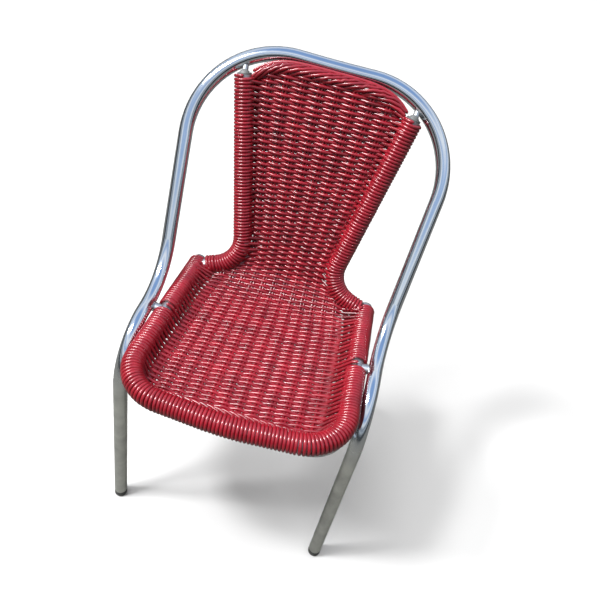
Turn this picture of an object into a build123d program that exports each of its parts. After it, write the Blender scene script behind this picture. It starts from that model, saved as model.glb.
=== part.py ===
from build123d import *
import math
import os

# Stacking cafe chair: a bent aluminium tube frame that carries a seat and back woven
# from round PVC cord. Millimetres. The chair faces -Y, +X is its left-right axis, +Z is
# up. Every size below is laid out with Y = 0 at the front feet, and each finished piece is
# then moved back by MIDDLE_Y, so that the origin is on the floor under the chair's middle.

MIDDLE_Y = 195.6

# --- outer frame: one tube makes both front legs, both side rails and the back loop ---
TUBE_D = 25.4
TUBE_WALL = 1.5
FOOT_X = 217.0
RAIL_FRONT = (214.5, 27.0, 454.0)
RAIL_REAR = (212.0, 204.0, 454.0)
LOOP_SHOULDER = (247.0, 456.0, 828.0)
LOOP_MIDDLE = (0.0, 458.5, 823.0)
KNEE_RADIUS = 105.0
POST_RADIUS = 148.0
SHOULDER_RADIUS = 163.0
MIDDLE_RADIUS = 2000.0

# --- rear-leg frame: a second tube, bent to a U that lies under the seat ---
REAR_FOOT = (200.0, 426.0, 0.0)
REAR_KNEE = (184.5, 262.0, 392.0)
UNDER_FRONT = (184.5, -18.0, 392.0)
REAR_KNEE_RADIUS = 90.0
UNDER_CORNER_RADIUS = 55.0
LEG_STUB_Y = 34.0

# --- seat rim: the tube that the seat is woven on ---
RIM_D = 25.4
RIM_WALL = 1.2
RIM_REAR = (173.5, 306.0, 436.0)
RIM_CORNER = (187.0, -48.0, 453.0)
RIM_FRONT = (0.0, -62.5, 453.0)
RIM_CORNER_RADIUS = 76.0
RIM_FRONT_RADIUS = 540.0

# --- back uprights: the tubes that the back is woven on ---
UPRIGHT_D = 25.4
UPRIGHT_WALL = 1.5
UPRIGHT_DOME_D = 19.0
UPRIGHT_TOP = (152.5, 418.5, 787.0)
UPRIGHT_WAIST = (86.5, 308.5, 460.0)
UPRIGHT_FOOT = (168.0, 292.0, 437.0)
WAIST_RADIUS = 60.0

# --- woven cord ---
CORD_D = 6.2
FIT_GAP = 0.3
WEAVE_THICKNESS = 9.0
STUB_Y = 141.0
STUB_GAP = 20.0
RIM_WRAP_END_Y = 299.0
UPRIGHT_BARE_TOP = 2.0
BRAID_D = 14.0

# --- joining pieces ---
STUB_D = 18.0
SIDE_STUB_RISE = 4.0
LEG_STUB_D = 14.0
POST_D = 16.0
TOP_STUB_D = 11.0
TOP_STUB_DROP = 8.0
TOP_STUB_SETBACK = 3.0
TOP_STUB_END = (158.0, 445.0, 805.0)

# --- caps and plugs ---
CAP_LIP = 2.6
END_PLUG_HEIGHT = 9.0
PLUG_LENGTH = 18.0
FOOT_CAP_HEIGHT = 15.0
FOOT_EDGE_RADIUS = 3.0

# --- woven panels: bands across the chair that sag between their two edges ---
SEAT_SAG = 26.0
WAIST_SAG = 10.0
BACK_SAG = 6.0
WAIST_HALF_WIDTH = 97.0
WAIST_DROP = 285.0
# Half width, Y and Z of the edges, lean in degrees and sag, from the seat's front backwards.
SEAT_SECTIONS = [
    (146.0, -49.0, 452.0, 0.0, 16.0),
    (160.0, -35.0, 451.0, 0.0, 24.0),
    (172.0, -10.0, 450.0, 0.0, SEAT_SAG),
    (176.0, 60.0, 446.0, 0.0, SEAT_SAG),
    (173.0, 150.0, 442.0, 0.0, SEAT_SAG),
    (169.0, 250.0, 437.0, 0.0, SEAT_SAG),
    (134.0, 296.0, 446.0, 25.0, SEAT_SAG),
    (106.0, 309.0, 470.0, 50.0, 20.0),
]
# Half width and rise above the uprights' tops, where the back narrows to its arched edge.
BACK_TOP_STEPS = [(152.5, -8.0), (132.0, 8.0), (100.0, 25.0)]

# --- plaited edges, half of each: the far end, and the bend before the middle ---
BRAID_END_X = 136.0
BRAID_END_RISE = 9.0
BRAID_BEND_X = 100.0
BRAID_BEND_RISE = 33.0
BRAID_BEND_RADIUS = 45.0
TWINE_END = (146.0, -14.0, 447.0)
TWINE_BEND = (112.0, -33.0, 446.0)
TWINE_MIDDLE = (0.0, -36.5, 445.0)
TWINE_BEND_RADIUS = 40.0
TWINE_MIDDLE_RADIUS = 1500.0

# Bigger than the chair in every direction, for cutting pieces to length.
BEYOND = 700.0


def mirror_x(point):
    return (-point[0], point[1], point[2])


def on_side(point, side):
    return (side * point[0], point[1], point[2])


def path_through(points, radii):
    return Wire(FilletPolyline(*points, radius=radii).edges())


def swept(path, outer_d, inner_d=0.0):
    start = Plane(origin=path @ 0, z_dir=path % 0)
    section = Circle(outer_d / 2)
    if inner_d > 0:
        section -= Circle(inner_d / 2)
    return sweep(start * section, path=path)


def rod(start, end, diameter):
    span = Vector(*end) - Vector(*start)
    base = Plane(origin=start, z_dir=span)
    return extrude(base * Circle(diameter / 2), amount=span.length)


def save(name, shape):
    piece = Pos(0, -MIDDLE_Y, 0) * shape
    piece.label = name
    export_step(piece, f"parts/{name}.step")


# ---------------------------------------------------------------- routes
def main_frame_path():
    right = [(FOOT_X, 0.0, 0.0), RAIL_FRONT, RAIL_REAR, LOOP_SHOULDER]
    left = [mirror_x(point) for point in reversed(right)]
    bends = [KNEE_RADIUS, POST_RADIUS, SHOULDER_RADIUS]
    return path_through(right + [LOOP_MIDDLE] + left, bends + [MIDDLE_RADIUS] + bends[::-1])


def rear_frame_path():
    right = [REAR_FOOT, REAR_KNEE, UNDER_FRONT]
    left = [mirror_x(point) for point in reversed(right)]
    bends = [REAR_KNEE_RADIUS, UNDER_CORNER_RADIUS]
    return path_through(right + left, bends + bends[::-1])


def rim_path():
    right = [RIM_REAR, RIM_CORNER]
    left = [mirror_x(point) for point in reversed(right)]
    bends = [RIM_CORNER_RADIUS, RIM_FRONT_RADIUS, RIM_CORNER_RADIUS]
    return path_through(right + [RIM_FRONT] + left, bends)


def upright_path(side):
    points = [on_side(point, side) for point in (UPRIGHT_TOP, UPRIGHT_WAIST, UPRIGHT_FOOT)]
    return path_through(points, [WAIST_RADIUS])


def rim_centre_at(y):
    """The X and Z of the rim tube's right side where it passes Y."""
    share = (y - RIM_CORNER[1]) / (RIM_REAR[1] - RIM_CORNER[1])
    x = RIM_CORNER[0] + share * (RIM_REAR[0] - RIM_CORNER[0])
    z = RIM_CORNER[2] + share * (RIM_REAR[2] - RIM_CORNER[2])
    return x, z


def upright_slope():
    """How far the back's plane goes in Y and in Z for each millimetre up it."""
    rise_y = UPRIGHT_TOP[1] - UPRIGHT_WAIST[1]
    rise_z = UPRIGHT_TOP[2] - UPRIGHT_WAIST[2]
    rise = math.hypot(rise_y, rise_z)
    return rise_y / rise, rise_z / rise


def on_upright(distance):
    """The Y and Z of the back's plane, a distance up from the top of the uprights."""
    slope_y, slope_z = upright_slope()
    return UPRIGHT_TOP[1] + distance * slope_y, UPRIGHT_TOP[2] + distance * slope_z


# ---------------------------------------------------------------- tubes
def slab(bottom, top):
    """A block wider than the chair, between two heights."""
    return Pos(0, MIDDLE_Y, (bottom + top) / 2) * Box(BEYOND, BEYOND, top - bottom)


def leg_trim():
    """Everything below the top of the foot caps, where the tubes stop."""
    return slab(-BEYOND, FOOT_CAP_HEIGHT)


def main_frame_tube():
    return swept(main_frame_path(), TUBE_D, TUBE_D - 2 * TUBE_WALL) - leg_trim()


def rear_leg_frame_tube():
    return swept(rear_frame_path(), TUBE_D, TUBE_D - 2 * TUBE_WALL) - leg_trim()


def seat_rim_tube():
    return swept(rim_path(), RIM_D, RIM_D - 2 * RIM_WALL)


def back_upright_tube(side):
    tube = swept(upright_path(side), UPRIGHT_D, UPRIGHT_D - 2 * UPRIGHT_WALL)
    return tube - swept(rim_path(), RIM_D) - rim_end_cap(side)


# ---------------------------------------------------------------- caps and plugs
def dome(diameter, height):
    """A shallow rounded end, flat side on Z = 0."""
    ball = (diameter * diameter / 4 + height * height) / (2 * height)
    envelope = Pos(0, 0, height / 2) * Cylinder(diameter / 2, height)
    return Pos(0, 0, height - ball) * Sphere(ball) & envelope


def end_plug(outer_d, wall, height, dome_d):
    """A domed plug: a lip as wide as the tube, and a shank inside the bore."""
    shank_d = outer_d - 2 * wall - 2 * FIT_GAP
    lip = Pos(0, 0, CAP_LIP / 2) * Cylinder(outer_d / 2, CAP_LIP)
    shank = Pos(0, 0, -PLUG_LENGTH / 2) * Cylinder(shank_d / 2, PLUG_LENGTH)
    return lip + Pos(0, 0, CAP_LIP) * dome(dome_d, height - CAP_LIP) + shank


def placed_on_end(path, at_start, shape):
    """Put a plug on one end of a tube's route, its dome pointing out of the bore."""
    place = 0 if at_start else 1
    outward = -(path % place) if at_start else path % place
    return Plane(origin=path @ place, z_dir=outward) * shape


def rim_end_cap(side):
    plug = end_plug(RIM_D, RIM_WALL, END_PLUG_HEIGHT, RIM_D)
    return placed_on_end(rim_path(), side > 0, plug)


def upright_end_plug(side):
    plug = end_plug(UPRIGHT_D, UPRIGHT_WALL, END_PLUG_HEIGHT, UPRIGHT_DOME_D)
    return placed_on_end(upright_path(side), True, plug)


def foot_cap(path, at_start):
    """A foot as wide as the tube, rounded underneath, with a shank up the bore."""
    bore_d = TUBE_D - 2 * TUBE_WALL - 2 * FIT_GAP
    pad = swept(path, TUBE_D) & slab(0, FOOT_CAP_HEIGHT)
    shank = swept(path, bore_d) & slab(0, FOOT_CAP_HEIGHT + PLUG_LENGTH)
    end = path @ (0 if at_start else 1)
    this_leg = Pos(end.X, end.Y, 0) * Cylinder(2 * TUBE_D, BEYOND)
    cap = (pad + shank) & this_leg
    sole = [edge for edge in cap.edges() if edge.center().Z < FIT_GAP]
    return fillet(sole, FOOT_EDGE_RADIUS)


# ---------------------------------------------------------------- joining pieces
def side_stub(side):
    """A short bar from the seat rim out to the side rail, hollowed to fit both tubes."""
    rim_x, rim_z = rim_centre_at(STUB_Y)
    rail = (side * RAIL_REAR[0], STUB_Y, rim_z + SIDE_STUB_RISE)
    bar = rod((side * rim_x, STUB_Y, rim_z), rail, STUB_D)
    return bar - swept(rim_path(), RIM_D) - swept(main_frame_path(), TUBE_D)


def top_stub(side):
    """A short bar from the upright back to the loop, hollowed to fit both tubes."""
    below_plug = Vector(0, -TOP_STUB_SETBACK, -TOP_STUB_DROP)
    start = Vector(*on_side(UPRIGHT_TOP, side)) + below_plug
    bar = rod(tuple(start), on_side(TOP_STUB_END, side), TOP_STUB_D)
    bar = bar - swept(upright_path(side), UPRIGHT_D) - swept(main_frame_path(), TUBE_D)
    return bar - upright_end_plug(side)


def support_post(side):
    """A post from the rear-leg frame up to the seat rim, hollowed to fit both tubes."""
    rim_x, rim_z = rim_centre_at(STUB_Y)
    bar_below = (side * REAR_KNEE[0], STUB_Y, REAR_KNEE[2])
    post = rod(bar_below, (side * rim_x, STUB_Y, rim_z), POST_D)
    return post - swept(rear_frame_path(), TUBE_D) - swept(rim_path(), RIM_D)


def leg_stub(side):
    """A short bar from the rear-leg frame out to the front leg, hollowed to fit both tubes."""
    height = UNDER_FRONT[2]
    inner = (side * UNDER_FRONT[0], LEG_STUB_Y, height)
    bar = rod(inner, (side * RAIL_FRONT[0], LEG_STUB_Y, height), LEG_STUB_D)
    return bar - swept(rear_frame_path(), TUBE_D) - swept(main_frame_path(), TUBE_D)


# ---------------------------------------------------------------- woven parts
def rim_wrap():
    return swept(rim_path(), RIM_D + 2 * CORD_D, RIM_D + 2 * FIT_GAP)


def rim_wrap_front():
    """The spiral round the rim from one side stub, round the front, to the other."""
    end = STUB_Y - STUB_GAP / 2
    return rim_wrap() & Pos(0, end - BEYOND / 2, RIM_CORNER[2]) * Box(BEYOND, BEYOND, BEYOND)


def rim_wrap_rear(side):
    """The spiral round the rim behind a side stub."""
    start = STUB_Y + STUB_GAP / 2
    length = RIM_WRAP_END_Y - start
    half = Pos(side * BEYOND / 2, start + length / 2, RIM_REAR[2])
    wrap = rim_wrap() & half * Box(BEYOND, length, BEYOND)
    return wrap - swept(upright_path(side), UPRIGHT_D + 2 * FIT_GAP)


def upright_wrap(side):
    """The spiral round an upright, from below its plug to the seat rim."""
    top = Vector(*on_side(UPRIGHT_TOP, side))
    waist = Vector(*on_side(UPRIGHT_WAIST, side))
    start = top + (waist - top).normalized() * UPRIGHT_BARE_TOP
    points = [tuple(start), tuple(waist), on_side(UPRIGHT_FOOT, side)]
    wrap = swept(
        path_through(points, [WAIST_RADIUS]), UPRIGHT_D + 2 * CORD_D, UPRIGHT_D + 2 * FIT_GAP
    )
    wrap = wrap - swept(rim_path(), RIM_D + 2 * CORD_D + 2 * FIT_GAP)
    return wrap - rim_end_cap(side)


def woven_section(half_width, y, z, lean, sag):
    """A band across the chair that hangs by sag between its two edges.

    lean is the way it hangs, in degrees: 0 is straight down and 90 straight back.
    """
    down_y = math.sin(math.radians(lean))
    down_z = -math.cos(math.radians(lean))
    steps = 12
    upper = []
    lower = []
    for step in range(steps + 1):
        share = 2 * step / steps - 1
        drop = sag * (1 - abs(share) ** 4)
        for edge, offset in ((upper, -WEAVE_THICKNESS / 2), (lower, WEAVE_THICKNESS / 2)):
            depth = drop + offset
            edge.append((share * half_width, y + down_y * depth, z + down_z * depth))
    return make_face(Polyline(*upper, *reversed(lower), close=True))


def woven_panel(sections):
    return loft([woven_section(*section) for section in sections], ruled=True)


def woven_neighbours(gap):
    """The wrapped tubes, grown by a gap, that the woven panels stay clear of."""
    grown = swept(rim_path(), RIM_D + 2 * CORD_D + 2 * gap)
    for side in (1, -1):
        grown += swept(upright_path(side), UPRIGHT_D + 2 * CORD_D + 2 * gap)
    return grown


def waist_section():
    """Where the woven seat ends and the woven back begins."""
    return (WAIST_HALF_WIDTH, *on_upright(-WAIST_DROP), back_lean(), WAIST_SAG)


def back_lean():
    return math.degrees(math.acos(upright_slope()[0]))


def seat_weave():
    return woven_panel(SEAT_SECTIONS + [waist_section()]) - woven_neighbours(FIT_GAP)


def back_weave():
    sections = [waist_section()]
    for half_width, rise in BACK_TOP_STEPS:
        sections.append((half_width, *on_upright(rise), back_lean(), BACK_SAG))
    panel = woven_panel(sections) - woven_neighbours(FIT_GAP)
    return panel - swept(braid_path(), BRAID_D + 2 * FIT_GAP)


def braid_path():
    outer = (BRAID_END_X, *on_upright(BRAID_END_RISE))
    inner = (BRAID_BEND_X, *on_upright(BRAID_BEND_RISE))
    points = [mirror_x(outer), mirror_x(inner), inner, outer]
    return path_through(points, [BRAID_BEND_RADIUS, BRAID_BEND_RADIUS])


def top_braid():
    """The plaited edge that runs from upright to upright, arched under the loop."""
    return swept(braid_path(), BRAID_D)


def front_twine():
    """The row of long strands that lies along the back of the front wrap."""
    points = [mirror_x(TWINE_END), mirror_x(TWINE_BEND), TWINE_MIDDLE, TWINE_BEND, TWINE_END]
    bends = [TWINE_BEND_RADIUS, TWINE_MIDDLE_RADIUS, TWINE_BEND_RADIUS]
    return swept(path_through(points, bends), CORD_D)


# ---------------------------------------------------------------- write every piece
def sided(name, build):
    for side, word in ((1, "right"), (-1, "left")):
        save(f"{name}_{word}", build(side))


os.makedirs("parts", exist_ok=True)
save("main_frame_tube", main_frame_tube())
save("rear_leg_frame_tube", rear_leg_frame_tube())
save("seat_rim_tube", seat_rim_tube())
sided("back_upright_tube", back_upright_tube)
sided("side_stub", side_stub)
sided("top_stub", top_stub)
sided("support_post", support_post)
sided("leg_stub", leg_stub)
sided("rim_end_cap", rim_end_cap)
sided("upright_end_plug", upright_end_plug)
sided("front_foot_cap", lambda side: foot_cap(main_frame_path(), side > 0))
sided("rear_foot_cap", lambda side: foot_cap(rear_frame_path(), side > 0))
save("rim_wrap_front", rim_wrap_front())
sided("rim_wrap_rear", rim_wrap_rear)
sided("upright_wrap", upright_wrap)
save("seat_weave", seat_weave())
save("back_weave", back_weave())
save("top_braid", top_braid())
save("front_twine", front_twine())
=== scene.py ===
import math

import bpy
import numpy as np
from mathutils import Matrix, Vector


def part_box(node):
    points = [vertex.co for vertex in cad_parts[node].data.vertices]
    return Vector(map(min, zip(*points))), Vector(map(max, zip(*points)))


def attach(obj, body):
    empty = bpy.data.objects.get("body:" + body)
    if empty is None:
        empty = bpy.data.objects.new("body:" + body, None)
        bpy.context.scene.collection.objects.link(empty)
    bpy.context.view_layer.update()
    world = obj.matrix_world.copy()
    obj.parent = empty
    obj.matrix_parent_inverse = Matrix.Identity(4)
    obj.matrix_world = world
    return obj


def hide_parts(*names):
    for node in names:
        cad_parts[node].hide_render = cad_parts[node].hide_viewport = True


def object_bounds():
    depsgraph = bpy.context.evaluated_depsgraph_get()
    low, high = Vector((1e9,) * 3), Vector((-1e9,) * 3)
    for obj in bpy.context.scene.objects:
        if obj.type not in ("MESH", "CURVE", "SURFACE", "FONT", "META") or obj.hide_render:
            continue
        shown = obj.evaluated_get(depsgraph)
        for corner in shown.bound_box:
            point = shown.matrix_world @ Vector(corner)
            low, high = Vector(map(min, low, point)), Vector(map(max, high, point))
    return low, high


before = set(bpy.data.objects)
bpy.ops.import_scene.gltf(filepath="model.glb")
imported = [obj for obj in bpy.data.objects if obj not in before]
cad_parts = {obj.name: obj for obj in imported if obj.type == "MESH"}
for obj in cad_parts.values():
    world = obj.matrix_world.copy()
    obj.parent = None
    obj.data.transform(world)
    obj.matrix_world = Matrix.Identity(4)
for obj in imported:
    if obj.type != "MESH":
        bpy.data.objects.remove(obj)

start_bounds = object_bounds()

# Lengths are metres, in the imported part's own frame: the chair faces -Y and +Z is up.

# ------------------------------------------------------------------ sizes
CORD_R = 0.00308
WRAP_PITCH = 0.00616
TURN_WANDER = 0.00022
TURN_SWELL = 0.00012
WEFT_R = 0.00302
WEFT_PITCH = 0.00510
WEFT_WANDER = 0.00025
WARP_R = 0.0028
PAIR_GAP = 0.0056
SEAT_LIFT = 0.0029
BACK_LIFT = 0.0037
TUBE_R = 0.0127
UPRIGHT_R = 0.0127
SEAT_WARPS = 12
BACK_WARPS = 8
# Painted shade: how much darker a strand is made on a side that others cover, and a warp all round.
COVERED_SHADE = 0.60
WARP_SHADE = 0.20
WRAP_TONE = 0.32



# ------------------------------------------------------------------ routes of the wrapped tubes
def rounded(points, radii, step=0.001):
    """A dense polyline through points, with each inner corner rounded to its radius."""
    points = [np.array(p, float) for p in points]
    out = [points[0]]
    for before, corner, after, radius in zip(points, points[1:], points[2:], radii):
        u = (before - corner) / np.linalg.norm(before - corner)
        v = (after - corner) / np.linalg.norm(after - corner)
        half = math.acos(np.clip(u @ v, -1, 1)) / 2
        reach = radius / math.tan(half)
        bisector = (u + v) / np.linalg.norm(u + v)
        centre = corner + bisector * radius / math.sin(half)
        a = corner + u * reach - centre
        b = corner + v * reach - centre
        sweep = math.pi - 2 * half
        steps = max(3, int(radius * sweep / step))
        for i in range(steps + 1):
            t = i / steps
            weight_a = math.sin((1 - t) * sweep) / math.sin(sweep)
            weight_b = math.sin(t * sweep) / math.sin(sweep)
            out.append(centre + weight_a * a + weight_b * b)
    out.append(points[-1])
    return resample(np.array(out), step)


def lengths(line):
    return np.concatenate([[0], np.cumsum(np.linalg.norm(np.diff(line, axis=0), axis=1))])


def resample(line, step):
    s = lengths(line)
    n = max(2, int(round(s[-1] / step)) + 1)
    return at_length(line, s, np.linspace(0, s[-1], n))


def at_length(line, s, d):
    """The values of line at d, where s says how far along each of its points is."""
    return np.stack([np.interp(d, s, line[:, k]) for k in range(3)], -1)


def unit(v):
    return v / np.linalg.norm(v)


rim_lo, rim_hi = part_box("seat_rim_tube")
stub_lo, stub_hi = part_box("side_stub_right")
STUB_Y = (stub_lo[1] + stub_hi[1]) / 2

RIM_SIDE_X = 0.187
RIM_Z_FRONT = rim_hi[2] - TUBE_R
RIM_Z_REAR = 0.436
RIM_REAR_X = 0.1735
RIM_BOW = 0.0016
RIM_CORNER_SETBACK = 0.0145
RIM_END_INSET = 0.0008
RIM_CORNER_RADIUS = 0.076
RIM_FRONT_RADIUS = 0.540
RIM_FRONT_Y = rim_lo[1] + TUBE_R - RIM_BOW
RIM_CORNER_Y = RIM_FRONT_Y + RIM_CORNER_SETBACK
RIM_REAR_Y = rim_hi[1] - RIM_END_INSET
rim_right = [(RIM_REAR_X, RIM_REAR_Y, RIM_Z_REAR), (RIM_SIDE_X, RIM_CORNER_Y, RIM_Z_FRONT)]
rim_left = [(-x, y, z) for x, y, z in reversed(rim_right)]
rim_line = rounded(
    rim_right + [(0.0, RIM_FRONT_Y, RIM_Z_FRONT)] + rim_left,
    [RIM_CORNER_RADIUS, RIM_FRONT_RADIUS, RIM_CORNER_RADIUS],
)
rim_s = lengths(rim_line)
rim_half = rim_line[: len(rim_line) // 2 + 1]
rim_half_s = lengths(rim_half)

# The back's plane: the uprights and the woven back lie in it.
TOP_Y, TOP_Z = 0.2229, 0.787
TOP_X = 0.1525
WAIST_X, WAIST_Y, WAIST_Z = 0.0865, 0.1129, 0.460
FOOT_X, FOOT_Y, FOOT_Z = 0.168, 0.0964, 0.437
WAIST_RADIUS = 0.060
UP = unit(np.array([0.0, TOP_Y - WAIST_Y, TOP_Z - WAIST_Z]))
FACE = np.array([0.0, -UP[2], UP[1]])


def upright_line(side):
    points = [
        (side * TOP_X, TOP_Y, TOP_Z),
        (side * WAIST_X, WAIST_Y, WAIST_Z),
        (side * FOOT_X, FOOT_Y, FOOT_Z),
    ]
    return rounded(points, [WAIST_RADIUS])


def on_side(line, side):
    """A route of the right side, or its mirror image when side is -1."""
    return line * np.array([side, 1, 1])


# ------------------------------------------------------------------ tubes of cord as meshes
class Strands:
    """Gathers round cords and makes one mesh of them."""

    def __init__(self, sides=8):
        self.sides = sides
        self.vertices = []
        self.faces = []
        self.values = []
        self.count = 0

    def add(self, line, radius, value=0.5, shade_toward=None, round_ends=True):
        """A cord along line, with painted shade on the side that other strands hide; a vector
        argument points to that side.
        """
        line = np.asarray(line, float)
        n = len(line)
        radius = np.broadcast_to(np.asarray(radius, float), (n,)).copy()
        shade_toward = np.zeros((n, 3)) if shade_toward is None else shade_toward
        tangent = np.gradient(line, axis=0)
        tangent /= np.linalg.norm(tangent, axis=1)[:, None]
        seed = np.array([0, 0, 1.0]) if abs(tangent[0][2]) < 0.9 else np.array([0, 1.0, 0])
        normal = np.empty_like(line)
        normal[0] = unit(seed - tangent[0] * (seed @ tangent[0]))
        for i in range(1, n):
            flat = normal[i - 1] - tangent[i] * (normal[i - 1] @ tangent[i])
            normal[i] = flat / np.linalg.norm(flat)
        if round_ends:
            line = np.concatenate([[line[0] - tangent[0] * radius[0] * 0.8], line])
            line = np.concatenate([line, [line[-1] + tangent[-1] * radius[-1] * 0.8]])
            normal = np.concatenate([normal[:1], normal, normal[-1:]])
            tangent = np.concatenate([tangent[:1], tangent, tangent[-1:]])
            radius = np.concatenate([[radius[0] * 0.35], radius, [radius[-1] * 0.35]])
            shade_toward = np.concatenate([shade_toward[:1], shade_toward, shade_toward[-1:]])
            n += 2
        binormal = np.cross(tangent, normal)
        angle = np.arange(self.sides) * 2 * math.pi / self.sides
        ring = (
            normal[:, None] * np.cos(angle)[None, :, None]
            + binormal[:, None] * np.sin(angle)[None, :, None]
        )
        points = line[:, None] + ring * radius[:, None, None]
        self.vertices.append(points.reshape(-1, 3))
        # Painted shade: the part of each ring that faces the covering strands is darkened.
        shade_share = np.maximum(0, np.sum(ring * shade_toward[:, None], axis=2))
        self.values.append((value - COVERED_SHADE * shade_share).reshape(-1))
        i = np.arange(n - 1)[:, None] * self.sides
        j = np.arange(self.sides)[None]
        k = (j + 1) % self.sides
        quads = np.stack([i + j, i + k, i + self.sides + k, i + self.sides + j], -1)
        self.faces += (quads.reshape(-1, 4) + self.count).tolist()
        self.faces.append((np.arange(self.sides)[::-1] + self.count).tolist())
        last = self.count + (n - 1) * self.sides
        self.faces.append((np.arange(self.sides) + last).tolist())
        self.count += n * self.sides

    def build(self, name, material):
        mesh = bpy.data.meshes.new(name)
        vertices = np.concatenate(self.vertices)
        mesh.from_pydata(vertices.tolist(), [], self.faces)
        mesh.polygons.foreach_set("use_smooth", [True] * len(mesh.polygons))
        tone_and_shade = mesh.attributes.new("strand", "FLOAT", "POINT")
        tone_and_shade.data.foreach_set("value", np.concatenate(self.values))
        mesh.update()
        ob = bpy.data.objects.new(name, mesh)
        bpy.context.collection.objects.link(ob)
        mesh.materials.append(material)
        return ob


def spline(points, per_span=5):
    """A smooth curve through points (centripetal Catmull-Rom)."""
    points = np.asarray(points, float)
    padded = np.concatenate(
        [[2 * points[0] - points[1]], points, [2 * points[-1] - points[-2]]]
    )
    out = []
    for a, b, c, d in zip(padded, padded[1:], padded[2:], padded[3:]):
        t0, t1 = 0.0, max(1e-6, np.linalg.norm(b - a)) ** 0.5
        t2 = t1 + max(1e-6, np.linalg.norm(c - b)) ** 0.5
        t3 = t2 + max(1e-6, np.linalg.norm(d - c)) ** 0.5
        for t in np.linspace(t1, t2, per_span, endpoint=False):
            a1 = (t1 - t) / (t1 - t0) * a + (t - t0) / (t1 - t0) * b
            a2 = (t2 - t) / (t2 - t1) * b + (t - t1) / (t2 - t1) * c
            a3 = (t3 - t) / (t3 - t2) * c + (t - t2) / (t3 - t2) * d
            b1 = (t2 - t) / (t2 - t0) * a1 + (t - t0) / (t2 - t0) * a2
            b2 = (t3 - t) / (t3 - t1) * a2 + (t - t1) / (t3 - t1) * a3
            out.append((t2 - t) / (t2 - t1) * b1 + (t - t1) / (t2 - t1) * b2)
    out.append(points[-1])
    return np.array(out)


rng = np.random.default_rng(11)


def strand_tone():
    """Each strand is a little lighter or darker than the next."""
    return float(rng.uniform(0.12, 0.44))


def frames_along(line, toward):
    """Tangent, sideways and upright unit vectors along a tube's route."""
    tangent = np.gradient(line, axis=0)
    tangent /= np.linalg.norm(tangent, axis=1)[:, None]
    inward = toward - tangent * np.sum(toward * tangent, axis=1)[:, None]
    inward /= np.linalg.norm(inward, axis=1)[:, None]
    return tangent, inward, np.cross(tangent, inward)


def wrap(strands, line, radius, start, end, toward, cord=CORD_R, samples=22):
    """One cord wound round a tube's route in touching turns, from start to end along it."""
    s = lengths(line)
    tangent, inward, across = frames_along(line, toward)
    turns = int(round((end - start) / WRAP_PITCH))
    n = turns * samples + 1
    theta = np.linspace(0, 2 * math.pi * turns, n)
    d = np.linspace(start, end, n)
    turn_wobble = rng.normal(0, 1, turns + 2)
    wobble = np.interp(np.arange(n) / samples, np.arange(turns + 2), turn_wobble)
    d = d + TURN_WANDER * wobble
    centre, a, b = (at_length(v, s, d) for v in (line, inward, across))
    r = radius + cord + TURN_SWELL * wobble
    path = centre + (a * np.cos(theta)[:, None] + b * np.sin(theta)[:, None]) * r[:, None]
    strands.add(path, cord, WRAP_TONE)


# ------------------------------------------------------------------ materials
def material(name):
    m = bpy.data.materials.new(name)
    m.use_nodes = True
    return m, m.node_tree.nodes, m.node_tree.links, m.node_tree.nodes["Principled BSDF"]


def noise(nodes, links, scale, detail=3.0, stretch=None):
    place = nodes.new("ShaderNodeTexCoord")
    tex = nodes.new("ShaderNodeTexNoise")
    tex.inputs["Scale"].default_value = scale
    tex.inputs["Detail"].default_value = detail
    if stretch:
        mapping = nodes.new("ShaderNodeMapping")
        mapping.inputs["Scale"].default_value = stretch
        links.new(place.outputs["Object"], mapping.inputs["Vector"])
        links.new(mapping.outputs["Vector"], tex.inputs["Vector"])
    else:
        links.new(place.outputs["Object"], tex.inputs["Vector"])
    return tex.outputs["Fac"]


def ramp(nodes, links, source, stops):
    node = nodes.new("ShaderNodeValToRGB")
    while len(node.color_ramp.elements) < len(stops):
        node.color_ramp.elements.new(0.5)
    for element, (at, colour) in zip(node.color_ramp.elements, stops):
        element.position = at
        element.color = (*colour, 1)
    links.new(source, node.inputs["Fac"])
    return node.outputs["Color"]


def to_range(nodes, links, source, low, high):
    node = nodes.new("ShaderNodeMapRange")
    node.inputs["To Min"].default_value = low
    node.inputs["To Max"].default_value = high
    links.new(source, node.inputs["Value"])
    return node.outputs["Result"]


def bump(nodes, links, source, shader, strength, distance):
    node = nodes.new("ShaderNodeBump")
    node.inputs["Strength"].default_value = strength
    node.inputs["Distance"].default_value = distance
    links.new(source, node.inputs["Height"])
    links.new(node.outputs["Normal"], shader.inputs["Normal"])


def cord_material():
    """Glossy red plastic, with each strand's own tone, painted shade where other strands cover it,
    and a little mottling.
    """
    m, nodes, links, shader = material("red_cord")
    # This attribute holds each strand's tone together with its painted shade.
    strand = nodes.new("ShaderNodeAttribute")
    strand.attribute_name = "strand"
    mottle = noise(nodes, links, 34.0)
    mix = nodes.new("ShaderNodeMath")
    mix.operation = "MULTIPLY_ADD"
    mix.inputs[1].default_value = 0.45
    links.new(mottle, mix.inputs[0])
    half = nodes.new("ShaderNodeMath")
    half.operation = "MULTIPLY"
    half.inputs[1].default_value = 0.5
    links.new(strand.outputs["Fac"], half.inputs[0])
    links.new(half.outputs["Value"], mix.inputs[2])
    colour = ramp(
        nodes,
        links,
        mix.outputs["Value"],
        [
            (0.05, (0.035, 0.0004, 0.002)),
            (0.28, (0.21, 0.0035, 0.011)),
            (0.60, (0.40, 0.010, 0.024)),
            (0.90, (0.52, 0.020, 0.038)),
        ],
    )
    links.new(colour, shader.inputs["Base Color"])
    fine = noise(nodes, links, 420.0, 4.0)
    links.new(to_range(nodes, links, fine, 0.22, 0.38), shader.inputs["Roughness"])
    shader.inputs["IOR"].default_value = 1.53
    shader.inputs["Specular IOR Level"].default_value = 0.6
    shader.inputs["Coat Weight"].default_value = 0.5
    shader.inputs["Coat Roughness"].default_value = 0.18
    shader.inputs["Subsurface Weight"].default_value = 0.0
    bump(nodes, links, fine, shader, 0.12, 0.0003)
    return m


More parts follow.
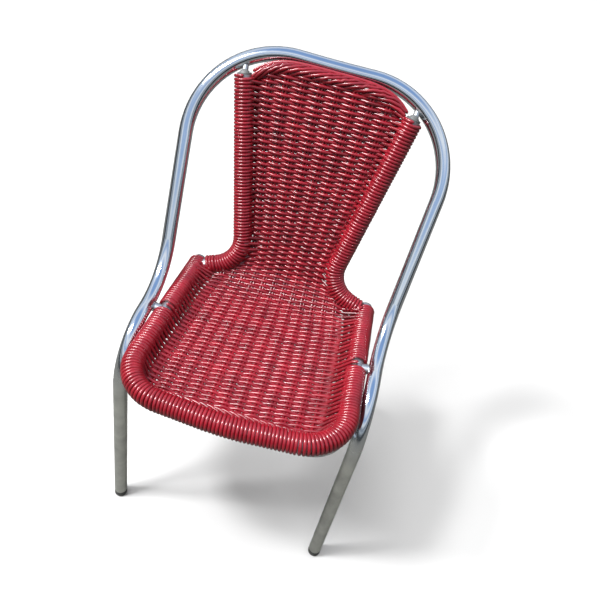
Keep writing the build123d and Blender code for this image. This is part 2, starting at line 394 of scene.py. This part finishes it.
def metal_material(name, colour_low, colour_high, rough_low, rough_high, lower_colour=None):
    """Drawn aluminium. The last argument, if given, is the duller colour of its lower part, nearer
    the floor.
    """
    m, nodes, links, shader = material(name)
    cloud = noise(nodes, links, 9.0, 4.0)
    colour = ramp(nodes, links, cloud, [(0.3, colour_low), (0.7, colour_high)])
    scratch = noise(nodes, links, 60.0, 6.0, (1.0, 1.0, 0.12))
    rough = to_range(nodes, links, scratch, rough_low, rough_high)
    if lower_colour:
        # The lower colour comes in between these two heights, going down.
        place = nodes.new("ShaderNodeTexCoord")
        split = nodes.new("ShaderNodeSeparateXYZ")
        links.new(place.outputs["Object"], split.inputs["Vector"])
        height = nodes.new("ShaderNodeMapRange")
        height.inputs["From Min"].default_value = 0.43
        height.inputs["From Max"].default_value = 0.33
        links.new(split.outputs["Z"], height.inputs["Value"])
        mix = nodes.new("ShaderNodeMix")
        mix.data_type = "RGBA"
        links.new(height.outputs["Result"], mix.inputs["Factor"])
        links.new(colour, mix.inputs["A"])
        spots = noise(nodes, links, 26.0, 6.0)
        low = tuple(c * 0.78 for c in lower_colour)
        links.new(ramp(nodes, links, spots, [(0.35, low), (0.6, lower_colour)]), mix.inputs["B"])
        colour = mix.outputs["Result"]
        add = nodes.new("ShaderNodeMath")
        add.operation = "MULTIPLY_ADD"
        add.inputs[1].default_value = 0.30
        links.new(height.outputs["Result"], add.inputs[0])
        links.new(rough, add.inputs[2])
        rough = add.outputs["Value"]
    links.new(colour, shader.inputs["Base Color"])
    shader.inputs["Metallic"].default_value = 1.0
    links.new(rough, shader.inputs["Roughness"])
    bump(nodes, links, scratch, shader, 0.05, 0.0002)
    return m


def plastic_material(name, low, high, rough):
    m, nodes, links, shader = material(name)
    cloud = noise(nodes, links, 55.0, 5.0)
    links.new(ramp(nodes, links, cloud, [(0.3, low), (0.7, high)]), shader.inputs["Base Color"])
    links.new(to_range(nodes, links, cloud, rough - 0.08, rough + 0.08), shader.inputs["Roughness"])
    bump(nodes, links, noise(nodes, links, 900.0, 3.0), shader, 0.15, 0.0003)
    return m


red = cord_material()
polished = metal_material(
    "polished_aluminium", (0.66, 0.69, 0.73), (0.80, 0.83, 0.86), 0.06, 0.16, (0.93, 0.94, 0.87)
)
satin = metal_material("satin_aluminium", (0.48, 0.49, 0.49), (0.60, 0.61, 0.61), 0.34, 0.50)
grey = plastic_material("grey_plastic", (0.10, 0.105, 0.105), (0.17, 0.175, 0.175), 0.5)
dark = plastic_material("dark_plastic", (0.075, 0.078, 0.072), (0.12, 0.122, 0.115), 0.5)


def both(name):
    return [f"{name}_left", f"{name}_right"]


for look, names in (
    (polished, ["main_frame_tube", "rear_leg_frame_tube"]),
    (satin, ["seat_rim_tube"] + both("back_upright_tube")),
    (satin, both("side_stub") + both("top_stub") + both("leg_stub") + both("support_post")),
    (grey, both("rim_end_cap") + both("upright_end_plug")),
    (dark, both("front_foot_cap") + both("rear_foot_cap")),
):
    for name in names:
        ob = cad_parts[name]
        ob.data.materials.clear()
        ob.data.materials.append(look)


def cord_piece(strands, name, *nodes):
    ob = strands.build(name, red)
    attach(ob, "root")
    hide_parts(*nodes)
    return ob


# ------------------------------------------------------------------ wrapped tubes
SEAT_MIDDLE = np.array([0.0, 0.02, 0.0])
STRAIGHT_FROM = 0.10
STUB_GAP = 0.010
REAR_END = 0.0075


def rim_toward(line):
    """Level and pointing to the middle of the seat."""
    target = SEAT_MIDDLE - line
    target[:, 2] = 0
    straight = line[:, 1] > rim_lo[1] + STRAIGHT_FROM
    target[straight] = np.array([-1.0, 0, 0]) * np.sign(line[straight, :1])
    return target


def length_at_y(line, s, y):
    i = int(np.argmin(np.abs(line[:, 1] - y)))
    return s[i]


right_stub = length_at_y(rim_half, rim_half_s, STUB_Y)
front = Strands()
wrap(
    front,
    rim_line,
    TUBE_R,
    right_stub + STUB_GAP,
    rim_s[-1] - right_stub - STUB_GAP,
    rim_toward(rim_line),
)
cord_piece(front, "rim_cord_front", "rim_wrap_front")
for side, word in ((1, "right"), (-1, "left")):
    line = on_side(rim_half, side)
    rear = Strands()
    wrap(rear, line, TUBE_R, REAR_END, right_stub - STUB_GAP, rim_toward(line))
    cord_piece(rear, f"rim_cord_rear_{word}", f"rim_wrap_rear_{word}")

UPRIGHT_BARE = 0.0015
UPRIGHT_STOP_X = 0.158
FOOT_BELOW = 0.46
uprights = {}
for side, word in ((1, "right"), (-1, "left")):
    line = upright_line(side)
    s = lengths(line)
    toward = np.tile(FACE, (len(line), 1))
    foot_part = line[:, 2] < FOOT_BELOW
    past_stop = np.abs(np.abs(line[foot_part, 0]) - UPRIGHT_STOP_X)
    upright_stop = s[foot_part][int(np.argmin(past_stop))]
    turn = Strands()
    wrap(turn, line, UPRIGHT_R, UPRIGHT_BARE, upright_stop, toward)
    cord_piece(turn, f"upright_cord_{word}", f"upright_wrap_{word}")
    uprights[side] = (line, s)

# ------------------------------------------------------------------ the woven surface
# The boundary that the wefts turn round: the rim's side, then the upright from foot to top.
FRONT_Y = rim_lo[1] + 2 * TUBE_R + 2 * CORD_R
UPRIGHT_START_X = 0.150
RIM_PART_END_Y = 0.088
RIM_PART_START_X = 0.10
TURN_START_Z, TURN_HEIGHT = 0.432, 0.06
rim_part = rim_half[::-1]
rim_part = rim_part[
    (rim_part[:, 1] < RIM_PART_END_Y) & (rim_part[:, 0] > RIM_PART_START_X)
]
up_line, up_s = uprights[1]
up_part = up_line[::-1]
up_part = up_part[int(np.argmax(up_part[:, 0] < UPRIGHT_START_X)) :]
EDGE = np.concatenate([rim_part, up_part])
EDGE_S = lengths(EDGE)
EDGE_IS_RIM = np.arange(len(EDGE)) < len(rim_part)
# The side that faces the sitter is up on the rim, and turns to the front on the upright.
foot = np.clip((EDGE[:, 2] - TURN_START_Z) / TURN_HEIGHT, 0, 1) * ~EDGE_IS_RIM
EDGE_UP = np.array([0, 0, 1.0]) * (1 - foot[:, None]) + FACE * foot[:, None]
EDGE_UP[EDGE_IS_RIM] = (0, 0, 1)
# The two parts meet with a gap, so the tangents come from an evenly spaced copy.
even = resample(EDGE, 0.001)
even_tangent = np.gradient(even, axis=0)
edge_tangent = at_length(even_tangent, lengths(even), EDGE_S)
edge_tangent /= np.linalg.norm(edge_tangent, axis=1)[:, None]
EDGE_UP -= edge_tangent * np.sum(EDGE_UP * edge_tangent, axis=1)[:, None]
EDGE_UP /= np.linalg.norm(EDGE_UP, axis=1)[:, None]
EDGE_IN = np.cross(EDGE_UP, edge_tangent)
EDGE_R = np.where(EDGE_IS_RIM, TUBE_R, UPRIGHT_R) + CORD_R


def edge_at(d, side):
    """The boundary d along it: centre, ways in and up, and the radius of the turns' middle."""
    centre, inward, up = (at_length(v, EDGE_S, d) for v in (EDGE, EDGE_IN, EDGE_UP))
    flip = np.array([side, 1, 1])
    radius = float(np.interp(d, EDGE_S, EDGE_R))
    return centre * flip, unit(inward) * flip, unit(up) * flip, radius


def edge_at_y(y):
    rim_points = EDGE[EDGE_IS_RIM]
    return EDGE_S[int(np.argmin(np.abs(rim_points[:, 1] - y)))]


def on_back(t, depth=0.0, x=0.0):
    """A point near the back's plane: t above the waist, depth behind it, and at x."""
    return np.array([x, WAIST_Y, WAIST_Z]) + t * UP - depth * FACE


def edge_at_height(z):
    """How far along the boundary its upright part is at height z."""
    far = 9.0
    shifted = np.abs(EDGE[:, 2] - z) + far * EDGE_IS_RIM
    return EDGE_S[int(np.argmin(shifted))]


# Stations from the seat's front to the back's top: the middle of the surface, the warps'
# spacing and shift, and where the wefts end on the boundary.
stations = []
for back, z, spacing, shift, edge_back in (
    (0.006, 0.4400, 0.0258, -0.0060, 0.020),
    (0.016, 0.4310, 0.0257, -0.0060, 0.029),
    (0.036, 0.4245, 0.0256, -0.0060, 0.047),
    (0.104, 0.4205, 0.0254, -0.0060, 0.110),
    (0.184, 0.4175, 0.0246, -0.0050, 0.187),
    (0.254, 0.4165, 0.0238, -0.0045, 0.256),
    (0.286, 0.4190, 0.0230, -0.0040, 0.286),
    (0.308, 0.4260, 0.0221, -0.0035, 0.304),
    (0.326, 0.4370, 0.0213, -0.0030, 0.319),
):
    middle = np.array([0.0, FRONT_Y + back, z])
    stations.append((middle, spacing, shift, edge_at_y(FRONT_Y + edge_back)))
SEAT_STATIONS = len(stations)
for t, depth, edge_t, spacing, shift in (
    (0.000, 0.000, -0.010, 0.0204, -0.0025),
    (0.025, 0.003, 0.018, 0.0198, -0.0020),
    (0.050, 0.005, 0.047, 0.0202, -0.0012),
    (0.090, 0.006, 0.088, 0.0214, 0.0),
    (0.130, 0.006, 0.129, 0.0230, 0.0),
    (0.170, 0.006, 0.170, 0.0247, 0.0),
    (0.210, 0.006, 0.210, 0.0263, 0.0),
    (0.250, 0.006, 0.250, 0.0280, -0.0010),
    (0.290, 0.006, 0.290, 0.0296, -0.0015),
    (0.341, 0.006, 0.339, 0.0308, -0.0020),
):
    edge = edge_at_height(on_back(edge_t)[2])
    stations.append((on_back(t, depth), spacing, shift, edge))

PER_STATION = 24
MIDDLE = spline([s[0] for s in stations], PER_STATION)
MIDDLE_S = lengths(MIDDLE)
station_s = MIDDLE_S[::PER_STATION][: len(stations)]
middle_tangent = np.gradient(MIDDLE, axis=0)
middle_tangent /= np.linalg.norm(middle_tangent, axis=1)[:, None]
WEAVE_LENGTH = MIDDLE_S[-1]
WAIST_S = station_s[SEAT_STATIONS]
# Wefts go over the rolls' tops up to here; on the back they tuck in beside them.
TUCK_FROM = WAIST_S - 0.02
OVER_TOP, TUCKED, UNDER_ROLL = (math.radians(a) for a in (84, 24, -150))
EDGE_SAG = 0.13
WARP_ROOM = 0.010


def station_value(s, column):
    return float(np.interp(s, station_s, [row[column] for row in stations]))


class Row:
    """The surface across the chair at one place along its middle line."""

    def __init__(self, s):
        self.s = s
        self.middle = at_length(MIDDLE, MIDDLE_S, s)
        self.along = unit(at_length(middle_tangent, MIDDLE_S, s))
        self.normal = np.array([0.0, -self.along[2], self.along[1]])
        self.spacing = station_value(s, 1)
        self.shift = station_value(s, 2)
        self.edge = station_value(s, 3)
        self.right = edge_at(self.edge, 1)
        self.left = edge_at(self.edge, -1)
        offset = self.right[0] - self.middle
        self.rise = offset @ self.normal
        self.slip = offset @ self.along
        self.half = self.right[0][0]

    def at(self, x, lift=0.0):
        share = min(1.0, abs(x) / self.half)
        height = self.rise * EDGE_SAG * share**2 + lift
        return (
            self.middle
            + np.array([x, 0, 0])
            + self.normal * height
            + self.along * self.slip * share**2
        )

    def warp_x(self, number):
        """Warps are numbered by halves from the middle: -5.5 to 5.5."""
        return self.shift + number * self.spacing

    def reach(self, side):
        centre, inward, up, r = self.right if side > 0 else self.left
        return abs((centre + inward * r)[0])

    def warps(self):
        most = SEAT_WARPS / 2 - 0.5
        low, high = -self.reach(-1) + WARP_ROOM, self.reach(1) - WARP_ROOM
        return [n for n in np.arange(-most, most + 0.5) if low < self.warp_x(n) < high]


# How far a weft's end sinks into the turn that it joins, over a roll and tucked in beside it.
SINK_OVER, SINK_TUCKED = 0.0002, 0.0012
# Past this distance from every roll, a weft's end joins no turn.
JOIN_REACH = 0.004
UNDER_TURN = math.radians(50)
LEAST_TURN, SHORT_TURN = 0.2, 0.4
END_STEPS = 6
# The share of a turn after which a weft's end joins it.
UPRIGHT_PHASE, RIM_PHASE = 0.0, 0.75


class Roll:
    """The turns of one wound cord, as places where wefts' ends join them."""

    def __init__(self, line, s, start, end, up_phase):
        self.line, self.s, self.start = line, s, start
        self.turns = int(round((end - start) / WRAP_PITCH))
        self.pitch = (end - start) / self.turns
        self.up_phase = up_phase

    def snap(self, point):
        """The nearest turn's offset from point, along the roll."""
        i = int(np.argmin(np.linalg.norm(self.line - point, axis=1)))
        d = self.s[i]
        turn = round((d - self.start) / self.pitch - self.up_phase)
        turn = min(max(turn, 0), self.turns - 1)
        target = self.start + (turn + self.up_phase) * self.pitch
        return at_length(self.line, self.s, target) - self.line[i]


rolls = []
for side in (1, -1):
    line, s = uprights[side]
    rolls.append((side, Roll(line, s, UPRIGHT_BARE, upright_stop, UPRIGHT_PHASE)))
    rear_line = on_side(rim_half, side)
    rear_roll = Roll(rear_line, rim_half_s, REAR_END, right_stub - STUB_GAP, RIM_PHASE)
    rolls.append((side, rear_roll))
front_roll = Roll(
    rim_line, rim_s, right_stub + STUB_GAP, rim_s[-1] - right_stub - STUB_GAP, RIM_PHASE
)
rolls += [(1, front_roll), (-1, front_roll)]


def snapped(point, side):
    """How far to slide a weft's end so that it joins a turn of the nearest roll."""
    best = None
    for roll_side, roll in rolls:
        if roll_side != side:
            continue
        gap = np.linalg.norm(roll.line - point, axis=1)
        first = np.searchsorted(roll.s, roll.start)
        last = np.searchsorted(roll.s, roll.start + roll.turns * roll.pitch)
        inside = gap[first : last + 1]
        if len(inside) and (best is None or inside.min() < best[0]):
            best = (inside.min(), roll)
    return best[1].snap(point) if best[0] < JOIN_REACH else np.zeros(3)


def end_on_roll(row, side, last_x, last_lift, over):
    """Points from the last warp on to the roll, and round it, over it or under it."""
    centre, inward, up, r = row.right if side > 0 else row.left
    start = row.at(last_x, last_lift)
    p, q = (start - centre) @ inward, (start - centre) @ up
    distance = max(r * 1.02, math.hypot(p, q))
    lean = math.atan2(q, p)
    open_angle = math.acos(r / distance)
    points = []
    if over:
        first = lean + open_angle
        last = OVER_TOP if row.s < TUCK_FROM else TUCKED
        slip = snapped(centre, side)
        r -= SINK_OVER if row.s < TUCK_FROM else SINK_TUCKED
    else:
        first = lean - open_angle
        last = min(first - UNDER_TURN, UNDER_ROLL)
        slip = np.zeros(3)
        r -= SINK_TUCKED
    way = 1 if over else -1
    if (last - first) * way < LEAST_TURN:
        last = first + way * SHORT_TURN
    for i in range(END_STEPS + 1):
        share = i / END_STEPS
        angle = first + (last - first) * share
        follow = 1 - (1 - min(1.0, share * 1.6)) ** 2
        spot = centre + (inward * math.cos(angle) + up * math.sin(angle)) * r
        points.append(spot + slip * follow)
    return points


def sign_at(warp, number):
    """1 where weft number goes over a warp, and -1 where it goes under."""
    return 1 if int(round(warp + (SEAT_WARPS - 1) / 2) + number) % 2 == 0 else -1


def weft_line(row, number, wander):
    """One strand across the chair, over and under the warps in turn."""
    warps = row.warps()
    lift = SEAT_LIFT if row.s < WAIST_S else BACK_LIFT
    inner = []
    for i, n in enumerate(warps):
        x = row.warp_x(n)
        inner.append(row.at(x, sign_at(n, number) * lift) + row.along * wander[i])
        if i + 1 < len(warps):
            between = (x + row.warp_x(warps[i + 1])) / 2
            inner.append(row.at(between) + row.along * wander[i])
    first, last = warps[0], warps[-1]
    ends = []
    for side, warp in ((1, last), (-1, first)):
        sign = sign_at(warp, number)
        ends.append(end_on_roll(row, side, row.warp_x(warp), sign * lift, sign < 0))
    right, left = ends
    return left[::-1] + inner + right, (len(left), len(right))


weave_parts = {"seat": Strands(), "back": Strands()}
weft_count = int(WEAVE_LENGTH / WEFT_PITCH)
for number in range(weft_count):
    row = Row((number + 0.5) * WEAVE_LENGTH / weft_count)
    wander = rng.normal(0, WEFT_WANDER, 16)
    line, ends = weft_line(row, number, wander)
    dense = spline(line, 4)
    radius = np.full(len(dense), WEFT_R)
    for at_start, count in ((True, ends[0]), (False, ends[1])):
        n = min(len(dense), 4 * (count - 1))
        ease = np.linspace(1, 0, n) * (CORD_R - WEFT_R)
        if at_start:
            radius[:n] += ease
        else:
            radius[-n:] += ease[::-1]
    part = weave_parts["seat" if row.s < WAIST_S else "back"]
    # Painted shade: each weft is darkened on the side that faces the warp it crosses.
    shade_at_points = np.zeros((len(line), 3))
    for i in range(ends[0], len(line) - ends[1]):
        shade_at_points[i] = -(line[i] - row.at(line[i][0])) @ row.normal / BACK_LIFT * row.normal
    place = np.linspace(0, len(line) - 1, len(dense))
    shade_toward = at_length(shade_at_points, np.arange(len(line)), place)
    part.add(dense, radius, strand_tone(), shade_toward)

# Warps: pairs of cords, all of them in the seat, and the middle ones on up the back.
WARP_START, WARP_STEP = 0.002, 0.006
WAIST_OVERLAP = 0.004
WARP_TUCK = ((0, -0.020, -0.004), (0, -0.010, -0.004))
most = SEAT_WARPS / 2 - 0.5
for n in np.arange(-most, most + 0.5):
    points = []
    for s in np.arange(WARP_START, WEAVE_LENGTH, WARP_STEP):
        row = Row(s)
        if n in row.warps():
            points.append((s, row.at(row.warp_x(n))))
    seat = [p for s, p in points if s < WAIST_S + WAIST_OVERLAP]
    back = [p for s, p in points if s >= WAIST_S - WAIST_OVERLAP]
    inner = abs(n) < BACK_WARPS / 2
    for shift in (-PAIR_GAP / 2, PAIR_GAP / 2):
        beside = np.array([shift, 0, 0])
        if len(seat) > 3:
            under = [seat[0] + np.array(step) for step in WARP_TUCK]
            line = spline(under + seat, 3) + beside
            # Painted shade: every warp is made darker all round, as the shade between the wefts.
            weave_parts["seat"].add(line, WARP_R, strand_tone() - WARP_SHADE)
        if inner and len(back) > 3:
            weave_parts["back"].add(spline(back, 3) + beside, WARP_R, strand_tone() - WARP_SHADE)

# ------------------------------------------------------------------ plaited edges
ARCH_TOP, ARCH_RISE, ARCH_HALF, ARCH_POWER = 0.3850, 0.0315, 0.138, 4.5
BACK_LENGTH = 0.341
BACK_DEPTH = 0.006
ROWS_BELOW_TOP = 0.012
WEFT_BELOW_ARCH = 0.007
WARP_BELOW_ARCH = 0.006
WARP_OVERLAP = 0.004
TOP_SPACING, TOP_SHIFT = stations[-1][1], stations[-1][2]
# Outwards, up and back from the end of a last row to where it hooks behind the outer warp.
HOOK = ((0.013, -0.001, 0.002), (0.022, -0.006, 0.005))


def arch(x):
    """How far up the back's plane its top edge is, at x."""
    return ARCH_TOP - ARCH_RISE * min(1.0, abs(x) / ARCH_HALF) ** ARCH_POWER


# The last rows are above the uprights' tops, so they have no roll to turn round.
top_warps = np.arange(-(BACK_WARPS - 1) / 2, BACK_WARPS / 2)
t = BACK_LENGTH + WEFT_PITCH / 2
number = weft_count
while t < ARCH_TOP - ROWS_BELOW_TOP:
    points = []
    for n in top_warps:
        x = TOP_SHIFT + n * TOP_SPACING
        if arch(x) - WEFT_BELOW_ARCH > t:
            points.append(on_back(t, BACK_DEPTH - sign_at(n, number) * BACK_LIFT, x))
            points.append(on_back(t, BACK_DEPTH, x + TOP_SPACING / 2))
    points = points[:-1]
    hooks = {}
    for end, side in ((0, -1), (-1, 1)):
        x = points[end][0]
        hooks[side] = [
            on_back(t + rise, BACK_DEPTH + behind, x + side * out) for out, rise, behind in HOOK
        ]
    dense = spline(hooks[-1][::-1] + points + hooks[1], 5)
    # Painted shade on the top rows, as on the wefts below.
    depth = (dense - on_back(0)) @ -FACE - BACK_DEPTH
    shade_toward = depth[:, None] / BACK_LIFT * FACE
    weave_parts["back"].add(dense, WEFT_R, strand_tone(), shade_toward)
    t += WEFT_PITCH
    number += 1
for n in top_warps:
    for beside in (-PAIR_GAP / 2, PAIR_GAP / 2):
        x = TOP_SHIFT + n * TOP_SPACING + beside
        heights = np.linspace(BACK_LENGTH - WARP_OVERLAP, arch(x) - WARP_BELOW_ARCH, 6)
        points = [on_back(t, BACK_DEPTH, x) for t in heights]
        # Painted shade: these warps are darker all round too.
        weave_parts["back"].add(spline(points, 3), WARP_R, strand_tone() - WARP_SHADE)

# Warp ends turn to the right at the back's top, and each lies over the next two.
BRAID_HALF = 0.1385
BRAID_FIRST, BRAID_LAST = -0.168, 0.120
BRAID_STEP = TOP_SPACING * 0.62
BRAID_SPAN = TOP_SPACING * 2.15
BRAID_LOW, BRAID_CLIMB = 0.0190, 0.0175
BRAID_DEPTH, BRAID_SWELL = 0.0075, 0.0095
BRAID_WANDER = 0.00035
BRAID_ROOT_LOW, BRAID_ROOT_DEPTH, BRAID_ROOT_BACK = 0.027, 0.010, 0.004
braid = Strands()
for x0 in np.arange(BRAID_FIRST, BRAID_LAST, BRAID_STEP):
    points = []
    for share in np.linspace(0, 1, 12):
        x = x0 + BRAID_SPAN * share
        if abs(x) > BRAID_HALF:
            continue
        climb = 1 - (1 - share) ** 1.5
        t = arch(x) - BRAID_LOW + BRAID_CLIMB * climb + rng.normal(0, BRAID_WANDER)
        swell = math.sin(math.pi * min(1.0, 0.10 + share * 0.95))
        points.append(on_back(t, BRAID_DEPTH - BRAID_SWELL * swell, x))
    if x0 > -BRAID_HALF:
        root = on_back(arch(x0) - BRAID_ROOT_LOW, BRAID_ROOT_DEPTH, x0 - BRAID_ROOT_BACK)
        points = [root] + points
    if len(points) > 3:
        braid.add(spline(points, 4), WEFT_R, strand_tone())
# One strand runs along the very top, and dips to each upright.
ROPE_RISE = 0.0006
rope_x = np.linspace(-BRAID_HALF, BRAID_HALF, 44)
rope = [on_back(arch(x) + ROPE_RISE, BRAID_DEPTH, x) for x in rope_x]
braid.add(spline(rope, 3), WEFT_R, strand_tone())

# A twined border along the seat's front edge: each strand slants forward over two warps.
TWINE_R = 0.0027
TWINE_FIRST, TWINE_LAST, TWINE_STEP, TWINE_WARPS = -5.9, 4.6, 0.5, 2.1
TWINE_START, TWINE_RUN = 0.0165, 0.0145
TWINE_SINK, TWINE_SWELL = 0.001, 0.0085
twine = Strands()
first_row = Row(0.004)
for n in np.arange(TWINE_FIRST, TWINE_LAST, TWINE_STEP):
    x0 = first_row.shift + n * first_row.spacing
    span = TWINE_WARPS * first_row.spacing
    points = []
    for share in np.linspace(0, 1, 8):
        row = Row(TWINE_START - TWINE_RUN * share)
        lift = TWINE_SWELL * math.sin(math.pi * share) - TWINE_SINK
        points.append(row.at(x0 + span * share, lift))
    twine.add(spline(points, 4), TWINE_R, strand_tone())

cord_piece(weave_parts["seat"], "seat_cord_weave", "seat_weave")
cord_piece(weave_parts["back"], "back_cord_weave", "back_weave")
cord_piece(braid, "back_cord_braid", "top_braid")
cord_piece(twine, "front_cord_twine", "front_twine")


# ------------------------------------------------------------------ floor, light and camera
def by_ray(nodes, links, ray, if_ray, otherwise):
    """One colour for one kind of light ray, and another for the rest."""
    path = nodes.new("ShaderNodeLightPath")
    mix = nodes.new("ShaderNodeMix")
    mix.data_type = "RGBA"
    links.new(path.outputs[ray], mix.inputs["Factor"])
    for name, colour in (("B", if_ray), ("A", otherwise)):
        if isinstance(colour, tuple):
            mix.inputs[name].default_value = (*colour, 1)
        else:
            links.new(colour, mix.inputs[name])
    return mix.outputs["Result"]


FLOOR_SIZE, FLOOR_Y, FLOOR_Z = 14, 2.0, -0.0005
bpy.ops.mesh.primitive_plane_add(size=FLOOR_SIZE, location=(0, FLOOR_Y, FLOOR_Z))
floor = bpy.context.object
floor.name = "floor"
floor_look, nodes, links, shader = material("floor_white")
shader.inputs["Roughness"].default_value = 0.8
shader.inputs["Specular IOR Level"].default_value = 0.1
floor_colour = by_ray(nodes, links, "Is Camera Ray", (0.76, 0.76, 0.76), (0.14, 0.14, 0.135))
links.new(floor_colour, shader.inputs["Base Color"])
floor.data.materials.append(floor_look)

world = bpy.data.worlds.new("studio")
bpy.context.scene.world = world
world.use_nodes = True
nodes, links = world.node_tree.nodes, world.node_tree.links
sky = nodes["Background"]
place = nodes.new("ShaderNodeTexCoord")
split = nodes.new("ShaderNodeSeparateXYZ")
links.new(place.outputs["Generated"], split.inputs["Vector"])
height = nodes.new("ShaderNodeMapRange")
height.inputs["From Min"].default_value = -1.0
links.new(split.outputs["Z"], height.inputs["Value"])
sky_colour = ramp(
    nodes,
    links,
    height.outputs["Result"],
    [
        (0.44, (0.010, 0.012, 0.016)),
        (0.55, (0.03, 0.035, 0.04)),
        (0.61, (0.50, 0.56, 0.62)),
        (0.65, (0.06, 0.09, 0.15)),
        (0.72, (0.90, 0.96, 1.00)),
        (0.79, (0.30, 0.45, 0.74)),
        (0.88, (0.95, 1.00, 1.05)),
        (0.97, (0.26, 0.42, 0.74)),
    ],
)
sky_light = by_ray(nodes, links, "Is Glossy Ray", sky_colour, (0.27, 0.27, 0.27))
sky_seen = by_ray(nodes, links, "Is Camera Ray", (1.0, 1.0, 1.0), sky_light)
links.new(sky_seen, sky.inputs["Color"])
sky.inputs["Strength"].default_value = 1.0

lo, hi = start_bounds
centre = (Vector(lo) + Vector(hi)) / 2


def light(name, kind, power, direction):
    """A lamp that shines along direction."""
    data = bpy.data.lights.new(name, kind)
    data.energy = power
    ob = bpy.data.objects.new(name, data)
    bpy.context.collection.objects.link(ob)
    ob.rotation_mode = "QUATERNION"
    ob.rotation_quaternion = Vector(direction).to_track_quat("-Z", "Y")
    return ob


key = light("key", "SUN", 2.0, (0.95, 0.25, -0.95))
key.data.angle = math.radians(10)
overhead = light("overhead", "SUN", 2.1, (0.15, -0.05, -1.0))
overhead.data.angle = math.radians(40)
overhead.visible_glossy = False
glint_offset = Vector((-1.0, -0.6, 1.9))
glint = light("glint", "AREA", 36, -glint_offset)
glint.data.size = 0.3
glint.location = centre + glint_offset

camera_data = bpy.data.cameras.new("camera")
camera = bpy.data.objects.new("camera", camera_data)
bpy.context.collection.objects.link(camera)
AZIMUTH, ELEVATION, ROLL = (math.radians(a) for a in (3.53, 44.21, 13.76))
TARGET = Vector((0.04985, 0.03514, 0.46504))
DISTANCE = 1.14482
SENSOR = 36
LENS_TO_SENSOR = 0.9951
to_camera = Vector(
    (
        math.sin(AZIMUTH) * math.cos(ELEVATION),
        -math.cos(AZIMUTH) * math.cos(ELEVATION),
        math.sin(ELEVATION),
    )
)
level = Vector((math.cos(AZIMUTH), math.sin(AZIMUTH), 0))
upward = to_camera.cross(level)
camera_right = level * math.cos(ROLL) + upward * math.sin(ROLL)
camera_up = upward * math.cos(ROLL) - level * math.sin(ROLL)
turn = Matrix((camera_right, camera_up, to_camera)).transposed().to_4x4()
camera.matrix_world = Matrix.Translation(TARGET + to_camera * DISTANCE) @ turn
camera_data.sensor_width = SENSOR
camera_data.lens = SENSOR * LENS_TO_SENSOR
camera_data.clip_start = 0.05
bpy.context.scene.camera = camera
bpy.context.scene.view_settings.view_transform = "Standard"
